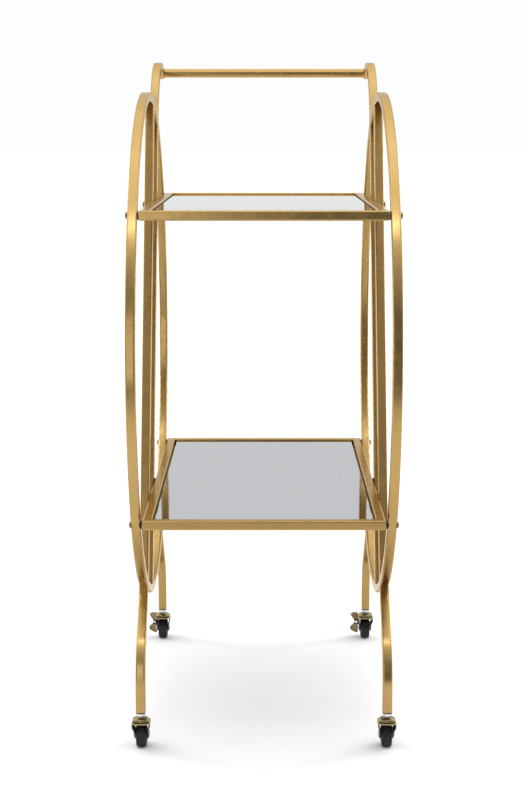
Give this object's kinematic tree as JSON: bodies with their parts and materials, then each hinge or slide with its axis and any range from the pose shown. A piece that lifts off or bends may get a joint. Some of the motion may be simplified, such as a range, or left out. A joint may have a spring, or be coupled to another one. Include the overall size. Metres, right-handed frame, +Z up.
{
  "type": "bar cart",
  "caption": "Narrow rolling bar cart with large hoop side frames, leaning posts, mirror shelves, a push bar at the rear end and small swivel casters with brakes below it.",
  "frame": {"origin": "on the floor under the middle of the cart", "axes": "+Z up, +Y along the cart towards the push handle, +X across it"},
  "size_m": [0.431, 0.84, 1.0901],
  "materials": {
    "gold_paint": "satin metallic champagne gold powder coat",
    "mirror": "polished silvered glass with a small edge bevel",
    "clear_pads": "clear soft bumper",
    "gold_fasteners": "gold plated, darkened in the recesses",
    "bare_steel": "plain zinc plated",
    "black_plastic": "moulded, matt",
    "bright_zinc": "bright plated steel",
    "fork_paint": "black enamel, brassy at the crown",
    "yellow_zinc": "yellow passivated zinc plate",
    "black_wheel": "black moulded wheel, semi-matt"
  },
  "bodies": {
    "frame": {"hoop_left": "gold_paint", "hoop_right": "gold_paint", "front_post_left": "gold_paint", "front_post_right": "gold_paint", "rear_post_left": "gold_paint", "rear_post_right": "gold_paint", "handle_arm_left": "gold_paint", "handle_arm_right": "gold_paint", "handle_bar": "gold_paint", "handle_end_caps": "gold_paint", "front_leg_left": "gold_paint", "front_leg_right": "gold_paint", "rear_leg_left": "gold_paint", "rear_leg_right": "gold_paint", "lower_side_rail_left": "gold_paint", "lower_side_rail_right": "gold_paint", "lower_end_rail_front": "gold_paint", "lower_end_rail_rear": "gold_paint", "lower_mirror_ledges": "gold_paint", "upper_side_rail_left": "gold_paint", "upper_side_rail_right": "gold_paint", "upper_end_rail_front": "gold_paint", "upper_end_rail_rear": "gold_paint", "upper_mirror_ledges": "gold_paint", "lower_mirror": "mirror", "lower_mirror_pads": "clear_pads", "lower_shelf_bolts": "gold_fasteners", "upper_mirror": "mirror", "upper_mirror_pads": "clear_pads", "upper_shelf_bolts": "gold_fasteners", "handle_screws": "gold_fasteners", "handle_tongues": "bare_steel", "spacer_washers": "black_plastic", "rivet_nuts": "bare_steel", "stem_sockets": "black_plastic", "stem_nuts": "bright_zinc", "caster_stems": "bright_zinc", "caster_cups": "yellow_zinc", "swivel_balls": "bright_zinc"},
    "swivel_front_left": {"caster_fork_front_left": "fork_paint", "caster_axle_front_left": "bright_zinc"},
    "wheel_front_left": {"caster_wheel_front_left": "black_wheel"},
    "swivel_front_right": {"caster_fork_front_right": "fork_paint", "caster_axle_front_right": "bright_zinc"},
    "wheel_front_right": {"caster_wheel_front_right": "black_wheel"},
    "swivel_rear_left": {"caster_fork_rear_left": "fork_paint", "caster_axle_rear_left": "bright_zinc", "brake_pin_rear_left": "bright_zinc"},
    "wheel_rear_left": {"caster_wheel_rear_left": "black_wheel"},
    "brake_rear_left": {"brake_lever_rear_left": "yellow_zinc"},
    "swivel_rear_right": {"caster_fork_rear_right": "fork_paint", "caster_axle_rear_right": "bright_zinc", "brake_pin_rear_right": "bright_zinc"},
    "wheel_rear_right": {"caster_wheel_rear_right": "black_wheel"},
    "brake_rear_right": {"brake_lever_rear_right": "yellow_zinc"}
  },
  "joints": [
    {"name": "swivel_front_left", "type": "hinge", "parent": "frame", "child": "swivel_front_left", "pos_m": [-0.1945, -0.29, 0.045], "axis": [0, 0, 1], "continuous": true},
    {"name": "wheel_spin_front_left", "type": "hinge", "parent": "swivel_front_left", "child": "wheel_front_left", "pos_m": [-0.1945, -0.276, 0.02], "axis": [1, 0, 0], "continuous": true},
    {"name": "swivel_front_right", "type": "hinge", "parent": "frame", "child": "swivel_front_right", "pos_m": [0.1945, -0.29, 0.045], "axis": [0, 0, 1], "continuous": true},
    {"name": "wheel_spin_front_right", "type": "hinge", "parent": "swivel_front_right", "child": "wheel_front_right", "pos_m": [0.1945, -0.276, 0.02], "axis": [1, 0, 0], "continuous": true},
    {"name": "swivel_rear_left", "type": "hinge", "parent": "frame", "child": "swivel_rear_left", "pos_m": [-0.1945, 0.29, 0.045], "axis": [0, 0, 1], "continuous": true},
    {"name": "wheel_spin_rear_left", "type": "hinge", "parent": "swivel_rear_left", "child": "wheel_rear_left", "pos_m": [-0.1945, 0.304, 0.02], "axis": [1, 0, 0], "continuous": true},
    {"name": "brake_rock_rear_left", "type": "hinge", "parent": "swivel_rear_left", "child": "brake_rear_left", "pos_m": [-0.2105, 0.31485, 0.028], "axis": [0, 1, 0], "range_deg": [0, 12]},
    {"name": "swivel_rear_right", "type": "hinge", "parent": "frame", "child": "swivel_rear_right", "pos_m": [0.1945, 0.29, 0.045], "axis": [0, 0, 1], "continuous": true},
    {"name": "wheel_spin_rear_right", "type": "hinge", "parent": "swivel_rear_right", "child": "wheel_rear_right", "pos_m": [0.1945, 0.304, 0.02], "axis": [1, 0, 0], "continuous": true},
    {"name": "brake_rock_rear_right", "type": "hinge", "parent": "swivel_rear_right", "child": "brake_rear_right", "pos_m": [0.1785, 0.31485, 0.028], "axis": [0, 1, 0], "range_deg": [0, 12]}
  ]
}
